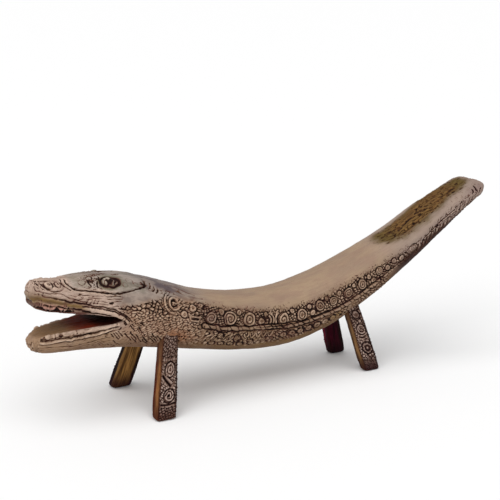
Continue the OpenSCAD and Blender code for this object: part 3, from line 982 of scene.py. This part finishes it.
def head_masks(along, around, outer):
    """Colours of the face: the eye and its panel, the jaw, the lip, the teeth, and the dark red gum with
    painted shade under the teeth.
    """
    eye_gap = eye_distance(along, around)
    dusk = bell(along + 176, 30) * fade(26, 40, around + 4 * noise(along / 9, around / 7, 57))
    gum_line = height_of([(-326, 7.2), (-300, 6.8), (-282, 5.8), (-262, 4)], along)
    # Dark strip under the teeth: dark red gum, and painted shade where the teeth hang over it
    gum_shade = bell(around - gum_line, 2.0) * fade(-250, -270, along)
    tip_gum = fade(12.8, 11.4, around) * fade(4, 6, around) * fade(-313.5, -316.5, along)
    lip_line = height_of([(-345, 13.5), (-326, 14), (-300, 14.4), (-282, 12.3), (-262, 9.4)], along)
    tooth_row = fade(-284, -290, along) * fade(-318, -314, along)
    return {
        "face": fade(-212, -236, along + 0.5 * around),
        "headward": fade(-95, -165, along),
        "jaw": fade(-8, -18, around),
        "panel": fade(-284, -274, along) * fade(-192, -204, along) * fade(24, 29, around),
        "dusk": dusk + 0.4 * bell(along + 246, 24) * fade(42, 52, around),
        "socket": fade(4.8, 6.6, eye_gap - 0.5 * fade(-238, -228, along)) * fade(11.5, 8.5, eye_gap),
        "pupil": fade(6.0, 4.6, eye_gap + 0.8 * np.maximum(along + 240, 0)),
        "lip": bell(around - lip_line, 3.2) * fade(-258, -272, along) * outer,
        "gum_shade": np.maximum(gum_shade, 0.85 * tip_gum),
        "tooth": fade(12.8, 11.6, around) * fade(8.0, 9.0, around) * tooth_row,
    }


def flank_masks(along, around):
    """Colours of the flank and the tail: painted shade on the undersides, and warmer and cooler areas of old
    wood.
    """
    edge = height_of([(-330, -24), (-200, -20), (-100, -17), (0, -11), (100, -11), (150, -7), (195, 1),
                      (240, 0), (290, -3), (345, -5)], along)
    ragged = 3 * noise(along / 16, around / 8, 48)
    # Painted shade: darker downwards from this line, over the underside
    under = fade(edge + 3, edge - 14 + 5 * fade(150, 195, along), around + ragged)
    top = height_of([(165, -3), (195, 1), (225, 2), (250, 0), (290, -3), (330, -4)], along)
    shadow = fade(165, 195, along) * (0.45 + 0.55 * fade(330, 270, along))
    cloudy = 0.75 + 0.5 * noise(along / 9, around / 5, 60)
    straw = 0.5 * bell(along + 72, 30) * bell(around + 13, 8)
    straw += 0.45 * bell(along, 130) * fade(-18, -26, around)
    tail_end = 0.7 * bell(along - 339, 9) * bell(around - 13, 8)
    return {
        "tailward": fade(150, 215, along),
        "under": under * (0.55 + 0.45 * fade(120, 190, along)),
        "shadow": shadow * fade(top, top - 7, around + 2 * noise(along / 8, around / 5, 62)),
        "warm": bell(along + 150, 17) * bell(around + 17, 9),
        "ruddy": cloudy * bell(along - 2, 34) * bell(around + 12, 8),
        "plum": np.maximum(bell(along + 115, 24) * bell(around - 12, 10) * cloudy, tail_end),
        "straw": bell(along - 75, 9) * bell(around + 15, 5) + cloudy * straw,
    }


def softened(points, edges, share, reach, voxel):
    """Points with their corners rounded over a reach in millimetres, where share is 1."""
    part = spread(share, edges, 8) > 1e-4
    number = np.cumsum(part) - 1
    joined = number[edges[part[edges[:, 0]] & part[edges[:, 1]]]]
    soft = points.copy()
    for axis in range(3):
        soft[part, axis] = spread(points[part, axis], joined, round((reach / voxel) ** 2))
    return points + (soft - points) * share[:, None]


def hollows_and_tops(lift, edges, voxel):
    """How deep each point lies below its surroundings, and how far it stands out of them."""
    near = spread(lift, edges, round(CLOSE_REACH / voxel) ** 2)
    wide = spread(near, edges, round(FAR_REACH / voxel) ** 2)
    hollow = fade(0.05, 0.7, near - lift) + 0.6 * fade(0.1, 1.0, wide - lift)
    high = fade(0.0, 0.6, lift - near) * 0.6 + fade(0.0, 0.9, lift - wide) * 0.7
    return np.clip(hollow, 0, 1), np.clip(high, 0, 1)


def carve_everywhere(skin, points):
    """Faint tool marks and open grain over all of the wood, and coarser grain inside the mouth."""
    x, y = points[:, 0], points[:, 1]
    s, g = skin.u, skin.v
    facets = 0.14 * noise(s / 17, g / 9, 41) + 0.07 * noise(s / 6, g / 4, 42)
    grain = 0.05 * noise(s / 9, g / 0.9, 43)
    skin.lift += facets + grain
    in_mouth = (1 - skin.skin) * fade(MOUTH_CORNER, MOUTH_CORNER - 14, x)
    skin.lift -= 0.25 * in_mouth * np.abs(noise(x / 11, y / 2.2, 44))


# ---------------------------------------------------------------- the legs

def leg_root(node):
    """Place where the axis of a leg goes into the beam, in millimetres."""
    low, high = leg_axis(node)
    return low + (high - low) * ROOT_SHARE


def leg_axis(node):
    """Middle of the foot and middle of the tenon's end."""
    points = mesh_points(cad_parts[node].data)
    top = points[:, 2].max()
    foot = points[points[:, 2] < 1]
    head = points[points[:, 2] > top - 4]
    return (foot.min(0) + foot.max(0)) / 2, (head.min(0) + head.max(0)) / 2


def build_leg(node, name, motifs):
    piece = fine_copy(node, name, LEG_VOXEL, round((0.9 / LEG_VOXEL) ** 2 * 3))
    mesh = piece.data
    points = mesh_points(mesh)
    normals = mesh_normals(mesh)
    edges = mesh_edges(mesh)
    low, high = leg_axis(node)
    height = points[:, 2]
    centre = low + (high - low) * (height / high[2])[:, None]
    outward = np.sign(low[1])
    points = softened(points, edges, fade(16, 6, height), 5.0, LEG_VOXEL)
    across = points[:, 0] - centre[:, 0]
    out = (points[:, 1] - centre[:, 1]) * outward
    facing = normals[:, 1] * outward
    bare = fade(6.6, 5.8, np.hypot(across, out)) * (height > high[2] - 30)
    skin = Carving(across, height, (1 - bare) * fade(0.35, 0.8, facing))
    motifs(skin)
    grain = 0.16 * noise(height / 12, (across + 3 * out) / 1.4, 51)
    grain += 0.15 * noise(height / 7, (across - out) / 5, 52)
    skin.lift *= RELIEF
    hollow, rub_and_highlight = hollows_and_tops(skin.lift, edges, LEG_VOXEL)
    moved = points + normals * (skin.lift + grain - 0.12)[:, None]
    moved = seat_shoulder(moved, points, normals, low, high)
    low_corner, high_corner = (np.array(c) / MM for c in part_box(node))
    high_corner[2] = np.inf
    set_points(mesh, np.clip(moved, low_corner, high_corner))

    uneven = 0.65 + 0.35 * noise(across / 4, height / 4, 53) + 0.2 * noise(across / 12, height / 14, 54)
    # Dark in the cuts and hollows is dirt and painted shade; light on the high places is wear and painted
    # highlight
    store_all(mesh, {
        "grime_and_shade": np.clip(skin.grime_and_shade * uneven * 0.75 + 0.7 * hollow, 0, 1),
        "rub_and_highlight": rub_and_highlight * np.clip(uneven + 0.3, 0, 1),
    })
    store_all(mesh, leg_masks(across, out, height, facing, normals))
    store_vector(mesh, "grain", np.column_stack([height, across + 3 * out, out]) * 0.1)
    return piece


def leg_masks(across, out, height, facing, normals):
    """Faces and edges of a leg, each of which has its own colour; the rear face, the rear edge, the rear
    strip of the inner face and the top under the beam get painted shade.
    """
    front = fade(0.35, 0.75, -normals[:, 0])
    half = fade(0.6, -1.6, out + 1.2 * noise(height / 13, across / 4, 57)) * front
    wide = span(across, height)
    side_edge = fade(0.72, 0.95, wide) * fade(0.3, 0.7, np.abs(normals[:, 1]))
    end_edge = fade(0.6, 0.9, span(out, height)) * fade(0.3, 0.7, np.abs(normals[:, 0]))
    return {
        "front": front,
        "rear": fade(0.35, 0.75, normals[:, 0]),
        "inner": np.maximum(fade(0.35, 0.75, -facing), half),
        # Rear edge of the leg, darkened with painted shade
        "rear_edge_shade": fade(0.5, 0.78, wide * np.sign(across) + 0.08 * noise(height / 8, out / 4, 61)),
        "toe": fade(26, 4, height),
        # Rear strip of the inner face, darkened with painted shade
        "trail_shade": fade(4, 8, across + 1.2 * noise(height / 9, out / 5, 56)),
        "edge": np.maximum(side_edge, end_edge),
        # Top of the leg, under the beam, that gets painted shade
        "topmost": fade(52, 72, height + 4 * noise(across / 6, height / 6, 58)),
    }


def span(values, height):
    """Size of each value as a share of the largest one at the same height."""
    level = np.arange(2, height.max(), 4.0)
    widest = [np.abs(values[np.abs(height - z) < 3]).max() for z in level]
    return np.abs(values) / np.interp(height, level, widest)


def seat_shoulder(moved, points, normals, low, high):
    """Pushes a leg's coped shoulder a little into the beam, so that no gap shows."""
    way = (high - low) / np.linalg.norm(high - low)
    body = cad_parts["crocodile_body"].data
    tree = BVHTree.FromPolygons([v.co for v in body.vertices], [p.vertices for p in body.polygons])
    push = np.zeros(len(points))
    for i in np.nonzero(points[:, 2] > high[2] - 75)[0]:
        found = tree.find_nearest(Vector(points[i] * MM), 0.003)
        if found[0] is not None:
            push[i] = fade(2.6, 0.6, found[3] / MM) * fade(0.1, 0.5, normals[i] @ way)
    return moved + way * (SHOULDER_PUSH * push)[:, None]


def carve_front_leg(leg):
    leg.ring(0.5, 55, 8.4, rings=2, stretch=0.74, height=0.9)
    leg.blot(-2, 71, 8, 0.8, seed=66)
    leg.blot(-5, 45, 4, 0.8, seed=67)
    leg.groove([(-7.5, 49), (-3.5, 43.5), (2, 37.5)], width=1.6, depth=1.2)
    leg.ridge([(-5, 50), (-1.5, 45), (4, 39.5)], width=1.5, height=0.7, edge=0.3)
    leg.ring(0.5, 27, 7.0, rings=2, spiral=1, stretch=0.95, height=0.9)
    leg.pit(0.5, 27, 1.5, depth=1.2)
    leg.groove([(-9, 18.5), (0, 17.5), (9, 18.5)], width=1.1, depth=0.9)
    for across in np.arange(-8, 9, 3.1):
        leg.disc(across, 65.5 + (0.3 * across) % 1, 1.3, 0.8)
    leg.scales(fade(66, 69, leg.v), (3.8, 2.5), angle=50, depth=0.6, seed=61, gap=0.26, grime_and_shade=0.6)
    leg.scales(fade(17, 15, leg.v), (3.2, 2.6), angle=20, depth=0.8, seed=62, gap=0.34, grime_and_shade=0.9)
    leg.nicks(np.full(len(leg.u), 0.9), 4.0, length=2.2, lean=40, depth=0.6, seed=65)
    between = fade(17, 20, leg.v) * fade(64, 61, leg.v)
    leg.scales(between, (4.4, 2.4), angle=-35, depth=0.5, seed=63, gap=0.22, grime_and_shade=0.6)


def carve_rear_leg(leg):
    leg.ring(1, 57, 7.0, rings=2, stretch=0.9, height=0.9)
    leg.groove([(-1.6, 54.6), (1, 59.4), (3.6, 54.8), (-1.4, 54.4)], width=0.8, depth=0.7)
    leg.groove([(-5, 47.5), (0, 46), (5, 47.5)], width=1.2, depth=0.9)
    leg.loop(2, 31.5, 7.9, width=1.1, depth=0.9)
    leg.disc(2, 31.5, 6.2, 0.7)
    leg.loop(2, 31.5, 3.4, width=2.0, depth=1.2)
    leg.blot(-4, 38, 4, 0.7, seed=77)
    leg.blot(2, 18, 7, 0.9, stretch=1.3, seed=78)
    leg.ring(0, 77, 5.4, rings=1, height=0.7)
    leg.blot(2, 74, 7, 0.9, seed=75)
    leg.blot(3, 43, 6, 0.8, seed=76)
    leg.scales(fade(64, 67, leg.v), (4.8, 3.6), angle=20, depth=1.0, seed=71, gap=0.3)
    between = fade(14, 17, leg.v) * fade(67, 64, leg.v)
    leg.scales(between, (4.2, 3.0), angle=35, depth=0.6, seed=72, gap=0.24)
    leg.strokes(fade(19, 16, leg.v), 2.6, angle=-50, depth=0.6, seed=73, run=8)
    leg.nicks(np.full(len(leg.u), 0.9), 4.0, length=2.0, depth=0.6, seed=74)


# ---------------------------------------------------------------- materials

class Wood:
    """Small helper that builds one procedural wood material, layer by layer."""

    def __init__(self, name):
        self.material = bpy.data.materials.new(name)
        self.material.use_nodes = True
        self.nodes = self.material.node_tree.nodes
        self.links = self.material.node_tree.links
        self.shader = self.nodes["Principled BSDF"]
        grain = self.nodes.new("ShaderNodeAttribute")
        grain.attribute_name = "grain"
        self.grain = grain.outputs["Vector"]

    def attribute(self, name):
        node = self.nodes.new("ShaderNodeAttribute")
        node.attribute_name = name
        return node.outputs["Fac"]

    def noise(self, scale, stretch=(1, 1, 1), detail=4.0, rough=0.55, offset=0.0):
        """Noise in the grain's own space. Scale 1 has features about 10 mm wide."""
        mapping = self.nodes.new("ShaderNodeMapping")
        mapping.inputs["Scale"].default_value = stretch
        mapping.inputs["Location"].default_value = (offset, offset, offset)
        self.links.new(self.grain, mapping.inputs["Vector"])
        texture = self.nodes.new("ShaderNodeTexNoise")
        texture.inputs["Scale"].default_value = scale
        texture.inputs["Detail"].default_value = detail
        texture.inputs["Roughness"].default_value = rough
        self.links.new(mapping.outputs["Vector"], texture.inputs["Vector"])
        return texture.outputs["Fac"]

    def range(self, value, low, high, to_low=0.0, to_high=1.0):
        node = self.nodes.new("ShaderNodeMapRange")
        node.interpolation_type = "SMOOTHSTEP"
        self.links.new(value, node.inputs["Value"])
        for key, number in (("From Min", low), ("From Max", high), ("To Min", to_low), ("To Max", to_high)):
            node.inputs[key].default_value = number
        return node.outputs["Result"]

    def math(self, kind, a, b):
        node = self.nodes.new("ShaderNodeMath")
        node.operation = kind
        for socket, value in zip(node.inputs, (a, b)):
            if isinstance(value, (int, float)):
                socket.default_value = value
            else:
                self.links.new(value, socket)
        return node.outputs["Value"]

    def mix(self, share, under, over, kind="MIX"):
        """Colour over laid on colour under. Each is a socket or an (r, g, b)."""
        node = self.nodes.new("ShaderNodeMix")
        node.data_type = "RGBA"
        node.blend_type = kind
        for socket, value in ((node.inputs[6], under), (node.inputs[7], over)):
            if isinstance(value, tuple):
                socket.default_value = (*value, 1)
            else:
                self.links.new(value, socket)
        if isinstance(share, (int, float)):
            node.inputs[0].default_value = share
        else:
            self.links.new(share, node.inputs[0])
        return node.outputs[2]

    def tint(self, under, mask, strength, over):
        """Colour over laid on as far as a mask says. The mask is a socket or the name of an attribute."""
        if isinstance(mask, str):
            mask = self.attribute(mask)
        return self.mix(self.math("MULTIPLY", mask, strength), under, over)

    def tints(self, under, rows):
        """Several colours laid on one after another, each with its mask and its strength."""
        for mask, strength, shade in rows:
            under = self.tint(under, mask, strength, linear(*shade))
        return under

    def bump(self, height, distance, strength, under=None):
        node = self.nodes.new("ShaderNodeBump")
        node.inputs["Distance"].default_value = distance * MM
        node.inputs["Strength"].default_value = strength
        self.links.new(height, node.inputs["Height"])
        if under is not None:
            self.links.new(under, node.inputs["Normal"])
        return node.outputs["Normal"]

    def finish(self, colour, roughness, normal, specular):
        self.shader.inputs["Specular IOR Level"].default_value = specular
        self.links.new(colour, self.shader.inputs["Base Color"])
        self.links.new(roughness, self.shader.inputs["Roughness"])
        self.links.new(normal, self.shader.inputs["Normal"])
        return self.material


def linear(red, green, blue):
    """Scene colour of an everyday 0 to 255 colour."""
    return tuple(((c / 255 + 0.055) / 1.055) ** 2.4 for c in (red, green, blue))


def dimmed(colour, share):
    return tuple(share * c for c in colour)


def carved_wood():
    wood = Wood("carved_wood")
    broad = wood.range(wood.noise(0.35, (0.5, 1, 1), detail=2), 0.35, 0.65)
    patches = wood.range(wood.noise(0.9, (0.6, 1, 1), offset=4, detail=3), 0.4, 0.62)
    streaks = wood.range(wood.noise(1.2, (0.25, 5, 3), offset=9), 0.3, 0.7)
    fine = wood.noise(5, (0.2, 4, 3), offset=2)
    grime_and_shade = wood.attribute("grime_and_shade")
    crown = wood.attribute("crown")

    cradle = cradle_colour(wood, broad, patches, streaks)
    colour = wood.mix(crown, flank_colour(wood, broad, patches), cradle)
    colour = wood.mix(wood.attribute("face"), colour, face_colour(wood, patches))
    colour = panel_and_tail(wood, colour, patches)
    colour = wood.tint(colour, "lip", 0.95, wood.mix(streaks, linear(122, 94, 48), linear(90, 64, 36)))
    # The underside is darkened here with painted shade
    colour = wood.tints(colour, (("tooth", 0.75, (190, 138, 124)), ("under", 0.75, (72, 46, 24)),
                                 ("warm", 0.6, (150, 92, 52)), ("shadow", 0.9, (44, 20, 16)),
                                 ("plum", 0.5, (92, 66, 70)), ("ruddy", 0.6, (88, 46, 28)),
                                 ("straw", 0.7, (138, 108, 58)), ("gum_shade", 0.92, (74, 26, 18))))
    # Dark fill of the cuts and hollows, dirt and painted shade: brown where shallow, near black where deep
    grime_and_shade_fill = wood.math("MULTIPLY", wood.range(grime_and_shade, 0.03, 0.65), wood.range(fine, 0.2, 0.6, 0.8, 1.0))
    brown = wood.mix(patches, linear(94, 66, 48), linear(98, 62, 50))
    black = wood.mix(patches, linear(22, 9, 4), linear(34, 12, 10))
    colour = wood.mix(wood.range(grime_and_shade_fill, 0.0, 0.6), colour, brown)
    colour = wood.mix(wood.range(grime_and_shade_fill, 0.5, 1.0), colour, black)
    frayed = wood.math("MULTIPLY", wood.math("SUBTRACT", fine, 0.5), 0.7)
    frayed = wood.math("ADD", wood.attribute("worn"), frayed)
    colour = wood.mix(wood.range(frayed, 0.08, 0.95), colour, worn_colour(wood, patches, streaks, grime_and_shade))
    colour = wood.mix(wood.attribute("mouth"), colour, mouth_colour(wood, streaks))
    specks = wood.range(wood.noise(14, (0.5, 1, 1), detail=2, offset=7), 0.62, 0.75)
    colour = wood.tint(colour, specks, 0.35, linear(60, 44, 34))
    colour = wood.mix(0.6, colour, wood.mix(fine, (0.33, 0.33, 0.33), (0.68, 0.67, 0.66)), "OVERLAY")

    shine = wood.mix(crown, (0.62, 0.62, 0.62), (0.44, 0.44, 0.44))
    shine = wood.mix(wood.math("MAXIMUM", grime_and_shade, wood.attribute("worn")), shine, (0.82, 0.82, 0.82))
    shine = wood.mix(0.2, shine, wood.mix(fine, (0.3, 0.3, 0.3), (0.8, 0.8, 0.8)))
    bumpy = wood.bump(wood.noise(9, (0.3, 1.5, 1.2), offset=3, detail=5), 0.5, 0.35)
    bumpy = wood.bump(fine, 0.4, 0.4, under=bumpy)
    return wood.finish(colour, shine, bumpy, specular=0.12)


def flank_colour(wood, broad, patches):
    colour = wood.mix(broad, linear(124, 98, 78), linear(112, 84, 58))
    colour = wood.tint(colour, patches, 0.5, linear(88, 56, 40))
    colour = wood.tint(colour, "headward", 0.7, linear(164, 128, 104))
    clouds = wood.range(wood.noise(1.6, offset=14), 0.42, 0.62)
    neck = wood.math("MULTIPLY", wood.attribute("headward"), clouds)
    colour = wood.tint(colour, neck, 0.5, linear(112, 84, 64))
    # Light tops of the carving: wear and painted highlight
    return wood.tints(colour, (("tailward", 0.5, (140, 116, 106)), ("rub_and_highlight", 0.85, (192, 165, 142))))


def cradle_colour(wood, broad, patches, streaks):
    """Smooth wood of the cradle and of the whole top, greyer towards the head."""
    colour = wood.mix(broad, linear(162, 138, 114), linear(150, 127, 108))
    colour = wood.tints(colour, ((patches, 0.3, (150, 120, 104)), (streaks, 0.16, (116, 92, 74))))
    grey = wood.mix(patches, linear(160, 146, 136), linear(122, 110, 104))
    return wood.tint(colour, "headward", 0.8, grey)


def face_colour(wood, patches):
    colour = wood.tint(linear(184, 160, 146), "jaw", 0.85, linear(150, 118, 86))
    scratches = wood.range(wood.noise(5, (0.5, 1.6, 1.2), offset=11, detail=5, rough=0.7), 0.46, 0.62)
    # Light tops of the face's carving: wear and painted highlight
    return wood.tints(colour, ((patches, 0.4, (138, 112, 94)), ("rub_and_highlight", 0.6, (218, 192, 170)),
                               (scratches, 0.35, (112, 92, 78))))


def panel_and_tail(wood, colour, patches):
    """Colours of the eye and its panel, of the dusky top of the neck, and of the tail."""
    grey = wood.mix(patches, linear(162, 150, 141), linear(132, 125, 110))
    colour = wood.tint(colour, "panel", 0.7, grey)
    colour = wood.tints(colour, (("socket", 0.75, (84, 84, 58)), ("pupil", 0.7, (166, 154, 138))))
    dusk = wood.math("MULTIPLY", wood.attribute("dusk"), wood.range(patches, 0.0, 1.0, 0.55, 1.0))
    colour = wood.mix(dusk, colour, linear(92, 80, 82))
    return wood.tints(colour, (("stain", 0.75, (112, 92, 58)), ("tailward", 0.5, (154, 139, 133))))


def worn_colour(wood, patches, streaks, grime_and_shade):
    """Golden wood of the worn patch, with an olive rim, and dirt and painted shade in its splits and gouges.
    """
    colour = wood.mix(streaks, linear(112, 84, 46), linear(62, 42, 22))
    # Light tops in the worn patch: wear and painted highlight
    colour = wood.tints(colour, ((patches, 0.5, (96, 58, 30)), ("rub_and_highlight", 0.6, (140, 106, 60)),
                                 ("moss", 0.8, (90, 74, 38))))
    # Dark splits and gouges: dirt and painted shade
    colour = wood.mix(wood.range(grime_and_shade, 0.1, 0.6), colour, linear(62, 38, 20))
    return wood.mix(wood.range(grime_and_shade, 0.45, 0.85), colour, linear(26, 12, 6))


def mouth_colour(wood, streaks):
    """Inside of the mouth: plain wood that turns red, and then dark with painted shade towards its corner.
    """
    deep = wood.attribute("deep")
    colour = wood.mix(wood.range(deep, 0.2, 0.7), linear(138, 108, 78), linear(124, 42, 20))
    # Painted shade deep in the mouth, by its corner
    colour = wood.mix(wood.range(deep, 0.8, 1.0), colour, linear(48, 10, 6))
    return wood.tint(colour, streaks, 0.4, linear(62, 34, 22))


def leg_wood(name, plain, dark_foot, inner):
    """Leg wood: plain is the colour of the front face, dark_foot of the toe, inner of the inner face."""
    wood = Wood(name)
    broad = wood.range(wood.noise(0.6, (0.5, 1, 1), detail=2), 0.35, 0.65)
    streaks = wood.range(wood.noise(1.6, (0.2, 3, 2), offset=9), 0.35, 0.7)
    fine = wood.noise(6, (0.2, 3, 2), offset=2)
    grime_and_shade = wood.attribute("grime_and_shade")
    is_front = wood.attribute("front")
    is_inner = wood.attribute("inner")
    # Light tops of the leg's carving: wear and painted highlight
    colour = wood.tint(wood.mix(broad, linear(122, 98, 84), linear(86, 62, 50)), "rub_and_highlight", 0.81,
                       linear(198, 174, 162))
    front = wood.mix(streaks, plain, dimmed(plain, 0.4))
    stains = wood.range(wood.noise(1.3, (0.5, 2, 2), offset=5), 0.48, 0.6)
    front = wood.mix(stains, front, dimmed(plain, 0.25))
    colour = wood.mix(is_front, colour, front)
    colour = wood.mix(is_inner, colour, wood.mix(streaks, inner, dimmed(inner, 0.2)))
    # Painted shade along the leg's rear edge
    colour = wood.tint(colour, "rear_edge_shade", 0.92, linear(26, 14, 14))
    # Painted shade on the rear strip of the inner face
    colour = wood.mix(wood.math("MULTIPLY", is_inner, wood.attribute("trail_shade")), colour, linear(30, 14, 12))
    # Painted shade on the leg's rear face
    colour = wood.tint(colour, "rear", 0.9, linear(40, 22, 16))
    # Painted shade on the top of the leg, under the beam
    shade_under_beam = wood.math("MULTIPLY", wood.attribute("topmost"), wood.range(is_front, 0.0, 1.0, 0.5, 0.65))
    colour = wood.mix(shade_under_beam, colour, linear(84, 58, 44))
    colour = wood.tint(colour, "toe", 0.85, dark_foot)
    # Dark in the cuts and hollows of the leg: dirt, and painted shade of the recesses
    colour = wood.mix(wood.range(grime_and_shade, 0.0, 0.5), colour, linear(78, 54, 46), "DARKEN")
    colour = wood.mix(wood.range(grime_and_shade, 0.4, 0.85), colour, linear(20, 7, 8))
    colour = wood.tint(colour, "edge", 0.75, linear(48, 18, 14))
    colour = wood.mix(0.5, colour, wood.mix(fine, (0.35, 0.35, 0.35), (0.66, 0.65, 0.64)), "OVERLAY")
    shine = wood.mix(grime_and_shade, (0.55, 0.55, 0.55), (0.85, 0.85, 0.85))
    shine = wood.mix(0.2, shine, wood.mix(fine, (0.3, 0.3, 0.3), (0.8, 0.8, 0.8)))
    bumpy = wood.bump(wood.noise(10, (0.3, 1.5, 1.2), offset=3, detail=5), 0.5, 0.4)
    bumpy = wood.bump(fine, 0.4, 0.5, under=bumpy)
    return wood.finish(colour, shine, bumpy, specular=0.04)


# ---------------------------------------------------------------- putting it together

def hand_over(piece, material, node):
    """Gives a piece its material and ties it to the frame in the place of its CAD node."""
    piece.data.materials.append(material)
    piece.data.shade_smooth()
    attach(piece, "root")
    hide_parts(node)


def build_all():
    build_camera()
    build_studio()
    hand_over(build_beam(), carved_wood(), "crocodile_body")
    black = linear(30, 10, 14)
    maroon = linear(116, 2, 38)
    plum = linear(38, 4, 16)
    gold = linear(162, 118, 66)
    woods = {
        "front_left_leg": leg_wood("front_left_wood", linear(158, 106, 64), linear(72, 34, 22),
                                   linear(92, 38, 22)),
        "front_right_leg": leg_wood("front_right_wood", black, plum, gold),
        "rear_left_leg": leg_wood("rear_left_wood", linear(156, 116, 74), linear(40, 2, 14),
                                  linear(90, 60, 40)),
        "rear_right_leg": leg_wood("rear_right_wood", maroon, black, linear(64, 2, 24)),
    }
    for node, wood in woods.items():
        motifs = carve_front_leg if node.startswith("front") else carve_rear_leg
        hand_over(build_leg(node, "carved_" + node, motifs), wood, node)


build_all()
